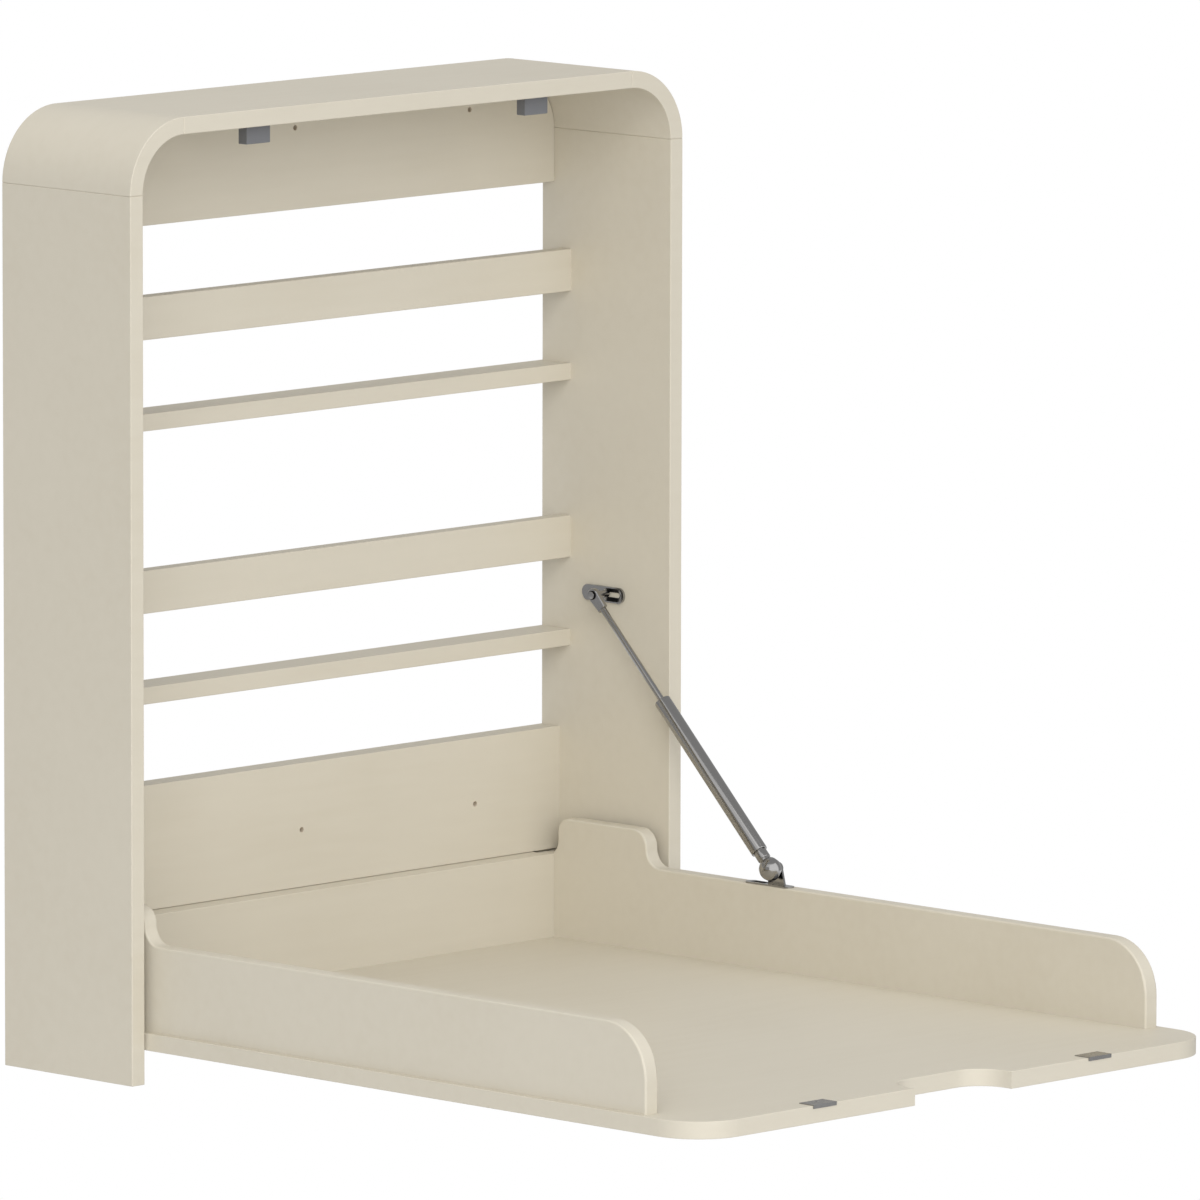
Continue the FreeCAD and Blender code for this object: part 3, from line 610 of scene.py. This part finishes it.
def turned(name, profile, start, way, material):
    """Piece turned about an axis from a profile that begins and ends on it, or that closes on itself."""
    form = bmesh.new()
    outward = way.orthogonal().normalized()
    turns = [math.tau * step / lathe_steps for step in range(lathe_steps)]
    spokes = [Matrix.Rotation(turn, 3, way) @ outward for turn in turns]
    rings = []
    for along, radius in eased(profile):
        middle = start + way * along
        if radius < weld:
            rings.append([form.verts.new(middle)] * lathe_steps)
        else:
            rings.append([form.verts.new(middle + spoke * radius) for spoke in spokes])
    for lower, upper in zip(rings, rings[1:]):
        for step in range(lathe_steps):
            after = (step + 1) % lathe_steps
            corners = list(dict.fromkeys([lower[step], lower[after], upper[after], upper[step]]))
            if len(corners) > 2:
                form.faces.new(corners)
    bmesh.ops.remove_doubles(form, verts=form.verts, dist=fine_weld)
    bmesh.ops.recalc_face_normals(form, faces=form.faces)
    piece = add_piece(name, form, material)
    piece.data.shade_smooth()
    piece.data.set_sharp_from_angle(angle=sharp_angle)
    return piece


def turn_strut(drawn, plated, polished, black):
    """Round pieces of the gas strut."""
    foot, top = tube_span
    tube = [
        (foot, 0, 0), (foot, tube_radius, rim_ease), (top, tube_radius, rim_ease),
        (top, tube_mouth, fine_ease), (top - tube_lid, tube_mouth, 0),
        (top - tube_lid, tube_radius - tube_wall, 0),
        (foot + tube_lid, tube_radius - tube_wall, 0), (foot + tube_lid, 0, 0)]
    piece = turned("gas_tube", tube, strut_foot, strut_way, drawn)
    give(piece, "strut_cylinder", "strut_grey", "strut_tube")
    neck = [
        (spigot_foot, 0, 0), (spigot_foot, spigot_radius, 0), (neck_foot, spigot_radius, 0),
        (neck_foot, neck_radius, rim_ease), (foot - neck_groove, neck_radius, fine_ease),
        (foot - neck_groove, spigot_radius, 0), (foot, spigot_radius, 0), (foot, 0, 0)]
    piece = turned("tube_neck", neck, strut_foot, strut_way, drawn)
    give(piece, "strut_cylinder", "zinc_steel", "strut_neck")
    lip = math.acos(socket_mouth / socket_room)
    socket = arc(socket_radius, math.pi, math.pi / 2) + [
        (socket_ridge, socket_radius, fine_ease), (socket_depth, socket_face, fine_ease),
        (socket_depth, socket_mouth, 0)] + arc(socket_room, math.pi / 2 - lip, math.pi)
    piece = turned("ball_socket", socket, strut_foot, across, plated)
    give(piece, "strut_cylinder", "zinc_steel", "strut_ball_socket")
    meet = math.asin(stud_radius / ball_radius)
    head_top = stud_seat + stud_head
    stud = arc(ball_radius, math.pi, meet) + [
        (stud_seat, stud_radius, 0), (stud_seat, stud_head_radius, fine_ease),
        (head_top - stud_bevel, stud_head_radius, 0), (head_top, stud_head_radius - stud_bevel, fine_ease),
        (head_top, 0, 0)]
    piece = turned("ball_stud", stud, strut_foot, across, plated)
    give(piece, "tray", "zinc_steel", "strut_ball_stud")
    foot, top = rod_span
    rod = [(foot, 0, 0), (foot, rod_radius, fine_ease), (top, rod_radius, fine_ease), (top, 0, 0)]
    piece = turned("gas_rod", rod, strut_foot, strut_way, polished)
    give(piece, "strut_piston_rod", "rod_chrome", "strut_rod")
    pin = [
        (-pin_head_foot - pin_head, 0, 0), (-pin_head_foot - pin_head, pin_head_radius, fine_ease),
        (-pin_head_foot, pin_head_radius, 0), (-pin_head_foot, pin_radius, 0), (pin_seat, pin_radius, 0),
        (pin_seat, pin_shoulder, fine_ease), (pin_end, pin_shoulder, fine_ease), (pin_end, 0, 0)]
    piece = turned("eye_pin", pin, strut_pivot, across, plated)
    give(piece, "strut_piston_rod", "zinc_steel", "strut_eye_pin")
    inner = -pin_seat - clip_thickness
    clip = [
        (inner, clip_bore, 0), (inner, clip_radius, fine_ease), (-pin_seat, clip_radius, fine_ease),
        (-pin_seat, clip_bore, 0), (inner, clip_bore, 0)]
    piece = turned("eye_clip", clip, strut_pivot, across, black)
    give(piece, "strut_piston_rod", "black_steel", "strut_eye_clip")


def loose_parts(name):
    """Corners of each loose part of a CAD node."""
    form = bmesh.new()
    form.from_mesh(nodes[name].data)
    bmesh.ops.remove_doubles(form, verts=form.verts, dist=weld)
    met = set()
    parts = []
    for first in form.verts:
        if first in met:
            continue
        met.add(first)
        part = [first]
        for vert in part:
            beyond = [edge.other_vert(vert) for edge in vert.link_edges]
            fresh = [other for other in beyond if other not in met]
            met.update(fresh)
            part.extend(fresh)
        parts.append([vert.co.copy() for vert in part])
    form.free()
    return parts


def part_line(part):
    """Middles of the two ends of a long part, the wider end first."""
    low = Vector([min(corner[axis] for corner in part) for axis in range(3)])
    high = Vector([max(corner[axis] for corner in part) for axis in range(3)])
    reach = list(high - low)
    axis = reach.index(max(reach))
    ends = [(low + high) / 2, (low + high) / 2]
    ends[0][axis] = low[axis]
    ends[1][axis] = high[axis]

    def girth(end):
        return max((corner - end).length for corner in part if abs(corner[axis] - end[axis]) < weld)
    return sorted(ends, key=girth, reverse=True)


def new_maker(name, sizes):
    """Empty geometry tree, and its inputs by name: the lines to follow, the finish and the named sizes."""
    tree = bpy.data.node_groups.new(name, "GeometryNodeTree")
    tree.interface.new_socket("Geometry", in_out="OUTPUT", socket_type="NodeSocketGeometry")
    tree.interface.new_socket("Lines", in_out="INPUT", socket_type="NodeSocketGeometry")
    tree.interface.new_socket("Finish", in_out="INPUT", socket_type="NodeSocketMaterial")
    for size, kind in sizes.items():
        tree.interface.new_socket(size, in_out="INPUT", socket_type=kind)
    sheet = Sheet(tree)
    given = {size: sheet.node("NodeGroupInput", None, None, size) for size in ("Lines", "Finish", *sizes)}
    return tree, sheet, given


def close_maker(sheet, given, form):
    """Ends a geometry tree in one plain mesh with its finish."""
    plain = sheet.node("GeometryNodeRealizeInstances", None, {"Geometry": form})
    sockets = {"Geometry": plain, "Material": given["Finish"]}
    finished = sheet.node("GeometryNodeSetMaterial", None, sockets)
    sheet.node("NodeGroupOutput", None, {"Geometry": finished})


def screw_maker():
    """Countersunk screws with a hex recess and a ring for each turn of the thread, one on each line."""
    names = ("Shank", "Head", "Recess", "Recess depth", "Pitch", "Thread depth")
    tree, sheet, given = new_maker("screw_maker", {name: "NodeSocketFloat" for name in names})
    lines = sheet.node("GeometryNodeMeshToCurve", None, {"Mesh": given["Lines"]})
    shank = given["Shank"] / 2
    core = shank - given["Thread depth"]
    cone_depth = given["Head"] / 2 - shank
    cone = sheet.node("GeometryNodeMeshCone", None, {
        "Vertices": head_sides, "Radius Top": shank,
        "Radius Bottom": given["Head"] / 2, "Depth": cone_depth})
    recess = sheet.node("GeometryNodeMeshCylinder", None, {
        "Vertices": recess_sides, "Radius": given["Recess"] / 2, "Depth": given["Recess depth"] * 2})
    head = sheet.node("GeometryNodeMeshBoolean", {"operation": "DIFFERENCE", "solver": "EXACT"}, {
        "Mesh 1": cone, "Mesh 2": recess})
    ends = sheet.node("GeometryNodeCurveToPoints", {"mode": "EVALUATED"}, {"Curve": lines})
    starts = (sheet.node("GeometryNodeInputIndex") % 2) < 1
    heads = sheet.node("GeometryNodeInstanceOnPoints", None, {
        "Points": ends, "Selection": starts, "Instance": head, "Rotation": ends.beside("Rotation")})
    # Sockets 4 and 5 are the lengths where the trimmed line starts and ends
    trim = {"Curve": lines, 4: cone_depth, 5: past_tip}
    below = sheet.node("GeometryNodeTrimCurve", {"mode": "LENGTH"}, trim)
    circle = {"Resolution": bar_sides, "Radius": core}
    round_bar = sheet.node("GeometryNodeCurvePrimitiveCircle", None, circle)
    bars = sheet.node("GeometryNodeCurveToMesh", None, {
        "Curve": below, "Profile Curve": round_bar, "Fill Caps": True})
    marks = sheet.node("GeometryNodeCurveToPoints", {"mode": "LENGTH"}, {
        "Curve": below, "Length": given["Pitch"]})
    ring = sheet.node("GeometryNodeMeshCone", None, {
        "Vertices": thread_sides, "Radius Top": core, "Radius Bottom": shank,
        "Depth": given["Pitch"] * thread_share})
    thread = sheet.node("GeometryNodeInstanceOnPoints", None, {
        "Points": marks, "Instance": ring, "Rotation": marks.beside("Rotation")})
    whole = sheet.node("GeometryNodeJoinGeometry", None, {"Geometry": [heads, bars, thread]})
    close_maker(sheet, given, whole)
    return tree


def dowel_maker():
    """Fluted dowels with chamfered ends, one on each line."""
    sizes = {"Diameter": "NodeSocketFloat", "Flute": "NodeSocketFloat", "Flutes": "NodeSocketInt"}
    tree, sheet, given = new_maker("dowel_maker", sizes)
    lines = sheet.node("GeometryNodeMeshToCurve", None, {"Mesh": given["Lines"]})
    outer = given["Diameter"] / 2
    section = sheet.node("GeometryNodeCurveStar", None, {
        "Points": given["Flutes"], "Inner Radius": outer - given["Flute"],
        "Outer Radius": outer, "Twist": 0.0})
    girth = sheet.node("GeometryNodeInputNamedAttribute", {"data_type": "FLOAT"}, {"Name": "girth"})
    bars = sheet.node("GeometryNodeCurveToMesh", None, {
        "Curve": lines, "Profile Curve": section, "Scale": girth, "Fill Caps": True})
    close_maker(sheet, given, bars)
    return tree


def screw_lines(names):
    """One line for each screw, from its head to its tip."""
    form = bmesh.new()
    for name in names:
        for part in loose_parts(name):
            form.edges.new([form.verts.new(end) for end in part_line(part)])
    return form


def dowel_lines(names):
    """One line for each dowel, thinner at its ends for the chamfer."""
    form = bmesh.new()
    girth = form.verts.layers.float.new("girth")
    thin = 1 - 2 * dowel_chamfer / dowel_diameter
    for name in names:
        for part in loose_parts(name):
            first, last = part_line(part)
            chamfer = (last - first).normalized() * dowel_chamfer
            stations = [(first, thin), (first + chamfer, 1.0), (last - chamfer, 1.0), (last, thin)]
            verts = []
            for place, wide in stations:
                verts.append(form.verts.new(place))
                verts[-1][girth] = wide
            for pair in zip(verts, verts[1:]):
                form.edges.new(pair)
    return form


def grown(name, tree, lines, sizes, body, slot, names):
    """Piece that a geometry tree grows on a body's lines, as one plain mesh in place of CAD nodes."""
    holder = add_piece(name + "_lines", lines, sizes["Finish"])
    growth = holder.modifiers.new("growth", "NODES")
    growth.node_group = tree
    for socket in tree.interface.items_tree:
        if socket.in_out == "INPUT" and socket.name in sizes:
            growth[socket.identifier] = sizes[socket.name]
    ready = holder.evaluated_get(bpy.context.evaluated_depsgraph_get())
    mesh = bpy.data.meshes.new_from_object(ready)
    bpy.data.objects.remove(holder)
    piece = bpy.data.objects.new(name, mesh)
    bpy.context.scene.collection.objects.link(piece)
    give(piece, body, slot, *names)


def fasten(plated):
    """Screws and dowels of the cabinet and of the tray."""
    screw_sizes = {
        "Finish": plated, "Shank": screw_shank, "Head": screw_head, "Recess": screw_recess,
        "Recess depth": screw_recess_depth, "Pitch": thread_pitch, "Thread depth": thread_depth}
    dowel_sizes = {
        "Finish": beech_wood("beech"), "Diameter": dowel_diameter,
        "Flute": dowel_flute, "Flutes": dowel_flutes}
    screws = {
        "cabinet": ["catch_screws", "strut_wall_plate_screw"],
        "tray": ["strike_plate_screws", "strut_tray_bracket_screw"]}
    dowels = {"cabinet": ["corner_dowels", "rail_dowels", "shelf_dowels"], "tray": ["tray_dowels"]}
    screw_tree = screw_maker()
    dowel_tree = dowel_maker()
    for body, names in screws.items():
        grown(body + "_screws", screw_tree, screw_lines(names), screw_sizes, body, "zinc_steel", names)
    for body, names in dowels.items():
        grown(body + "_dowels", dowel_tree, dowel_lines(names), dowel_sizes, body, "beech", names)


def photograph():
    """Camera at the photograph's angle."""
    data = bpy.data.cameras.new("camera")
    data.lens = camera_lens
    camera = bpy.data.objects.new("camera", data)
    back = bearing(camera_azimuth, camera_elevation)
    facing = back.to_track_quat("Z", "Y").to_matrix().to_4x4()
    place = Matrix.Translation(camera_target + back * camera_distance)
    camera.matrix_world = place @ facing @ Matrix.Rotation(camera_roll, 4, "Z")
    bpy.context.scene.collection.objects.link(camera)
    bpy.context.scene.camera = camera


def dress_boards():
    """Cream lacquer on every board."""
    plain = lacquered_board("cream_lacquer")
    drilled = lacquered_board("cream_lacquer_drilled", wall_holes())
    paint(drilled, "upper_wall_rail", "lower_wall_rail")
    paint(plain, "top_panel", "tray_base", "tray_back_wall")
    for side in ("left", "right"):
        paint(plain, side + "_side_panel", side + "_top_corner", side + "_tray_wall")
    for level in ("lower", "upper"):
        paint(plain, level + "_shelf_board", level + "_shelf_lip")


def dress_fittings():
    """Metal, plastic and rubber of the fittings, and the pieces that take over from their solids."""
    lean = (math.atan2(-strut_way.y, strut_way.z), 0.0, 0.0)
    # Both plates get painted shade: black in their slots' countersinks
    wall_slot_shade = (strut_pivot + wall_slot_shift, "Z", wall_slot_half)
    bracket_slot_shade = (strut_foot + bracket_slot_shift, "X", bracket_slot_half)
    drawn = worked_metal("drawn_tube", steel_pale, steel_deep, tube_rough, tube_lines, lean)
    plated = worked_metal("plated_steel", steel_pale, steel_deep, plate_rough)
    polished = worked_metal("polished_rod", steel_pale, steel_deep, rod_rough, rod_lines, lean)
    dull = worked_metal("dull_steel", steel_deep, steel_dull, dull_rough)
    black = worked_metal("black_steel", steel_burnt, steel_black_and_slot_shade, black_rough)
    upright = worked_metal("plated_steel_upright", steel_pale, steel_deep, plate_rough, slot=wall_slot_shade)
    level = worked_metal("plated_steel_level", steel_pale, steel_deep, plate_rough, slot=bracket_slot_shade)
    turn_strut(drawn, plated, polished, black)
    paint(upright, "strut_wall_plate")
    paint(level, "strut_tray_bracket")
    paint(polished, "hinge_pins")
    paint(plated, "strut_eye", "strut_piston", "catch_pole_plates")
    paint(dull, "left_strike_plate", "right_strike_plate")
    fasten(plated)
    housing = moulded_plastic("catch_plastic", housing_pale, housing_deep, housing_rough)
    bush = moulded_plastic("bush_plastic", bush_pale, bush_deep, bush_rough)
    rubber = moulded_plastic("seal_rubber", rubber_pale, rubber_deep, rubber_rough, rubber_pits)
    ferrite = moulded_plastic("ferrite", ferrite_pale, ferrite_deep, ferrite_rough, ferrite_pits)
    paint(housing, "left_catch_housing", "right_catch_housing")
    paint(bush, "hinge_sockets", "hinge_bushes", "strut_rod_guide")
    paint(rubber, "strut_seal", "strut_piston_ring")
    paint(ferrite, "catch_magnets")


bpy.context.scene.view_settings.view_transform = "Standard"
ambient()
for lamp in lamps:
    softbox(*lamp)
glow_card("front_softbox", softbox_glow, in_softbox)
glow_card("grey_surround", surround_grey, in_grey)
dress_boards()
dress_fittings()
studio_floor()
photograph()
